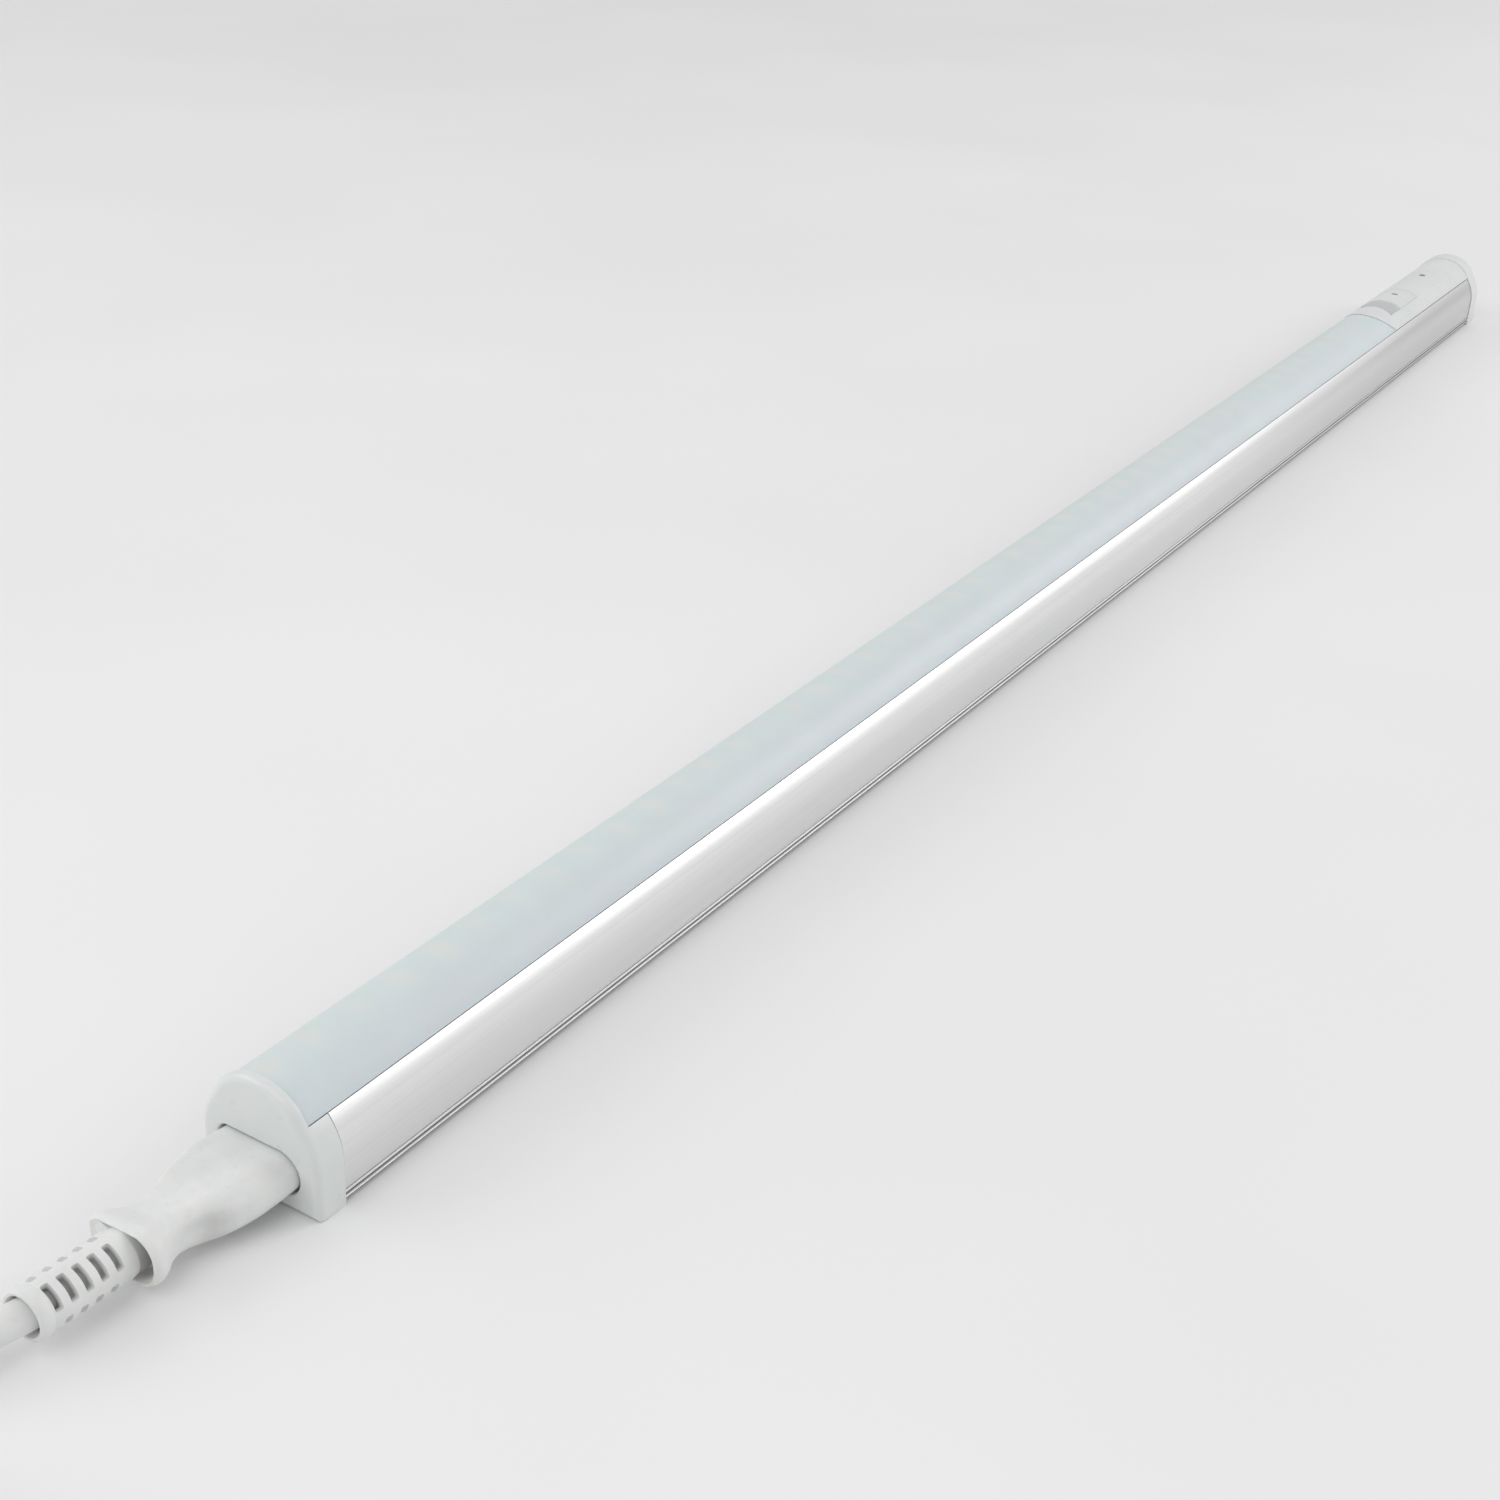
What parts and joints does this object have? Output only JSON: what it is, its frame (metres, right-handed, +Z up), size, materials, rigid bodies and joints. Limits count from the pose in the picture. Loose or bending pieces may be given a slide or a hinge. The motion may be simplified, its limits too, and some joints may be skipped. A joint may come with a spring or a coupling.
{
  "type": "linear led light",
  "caption": "Slim linear LED light: aluminium channel, opal diffuser, white end caps with a rocker switch and a figure-8 inlet, and a plugged-in mains lead folded in a tied hank.",
  "frame": {"origin": "on the surface the light lies on, under the middle of the light without its lead", "axes": "+X along the light towards the cap with the switch, +Y across it, +Z up through the diffuser"},
  "size_m": [0.939, 0.0372, 0.023],
  "materials": {
    "channel": "satin anodised",
    "diffuser": "opal frosted",
    "cap": "smooth moulded white",
    "lead": "soft moulded white",
    "white_board": "white solder mask",
    "green_board": "green solder mask",
    "phosphor": "LED phosphor",
    "brass": "polished",
    "nickel": "nickel plated",
    "steel": "spring steel",
    "black": "moulded black",
    "smoked": "smoked clear",
    "film": "clear film",
    "brown_wire": "wire insulation",
    "blue_wire": "wire insulation",
    "red_wire": "wire insulation",
    "capacitor": "shrink sleeve",
    "yellow_case": "moulded case",
    "ceramic": "glazed ceramic",
    "copper": "copper"
  },
  "bodies": {
    "housing": {"aluminium_channel": "channel", "diffuser": "diffuser", "inlet_end_cap": "cap", "switch_end_cap": "cap", "led_board": "white_board", "led_row": "phosphor", "driver_board": "green_board", "driver_sleeve": "film", "fuse_resistor": "ceramic", "film_capacitor": "yellow_case", "bridge_rectifier": "black", "input_capacitor": "capacitor", "driver_chip": "black", "driver_choke": "copper", "output_diode": "black", "output_capacitor": "capacitor", "live_wire": "brown_wire", "neutral_wire": "blue_wire", "switch_wire_feed": "black", "switch_wire_load": "black", "led_wire_plus": "red_wire", "led_wire_minus": "black", "inlet_pin_live": "nickel", "inlet_pin_neutral": "nickel", "switch_frame": "cap", "feed_terminal": "brass", "load_terminal": "brass", "indicator_lens": "smoked", "indicator_board": "white_board", "indicator_led": "phosphor"},
    "rocker": {"switch_rocker": "cap", "rocker_plunger": "black", "plunger_spring": "steel"},
    "lever": {"contact_lever": "copper"},
    "lead": {"cord_connector": "lead", "contact_tube_live": "brass", "contact_tube_neutral": "brass", "strain_relief": "lead", "cord_run": "lead", "cord_hank": "lead", "hank_tie": "black", "cord_tail": "lead", "mains_plug": "lead", "plug_relief": "lead", "plug_pin_left": "brass", "plug_pin_right": "brass"}
  },
  "joints": [
    {"name": "rocker_tilt", "type": "hinge", "parent": "housing", "child": "rocker", "pos_m": [0.2295, 0, 0.0156], "axis": [0, 1, 0], "range_deg": [0, 12]},
    {"name": "lever_tilt", "type": "hinge", "parent": "housing", "child": "lever", "pos_m": [0.2295, 0, 0.0106], "axis": [0, 1, 0], "range_deg": [-8, 0]},
    {"name": "lead_pull", "type": "slide", "parent": "housing", "child": "lead", "axis": [-1, 0, 0], "range_m": [0, 0.02]}
  ],
  "couplings": [
    {"joint": "lever_tilt", "follows": "rocker_tilt", "ratio": -0.6666}
  ]
}
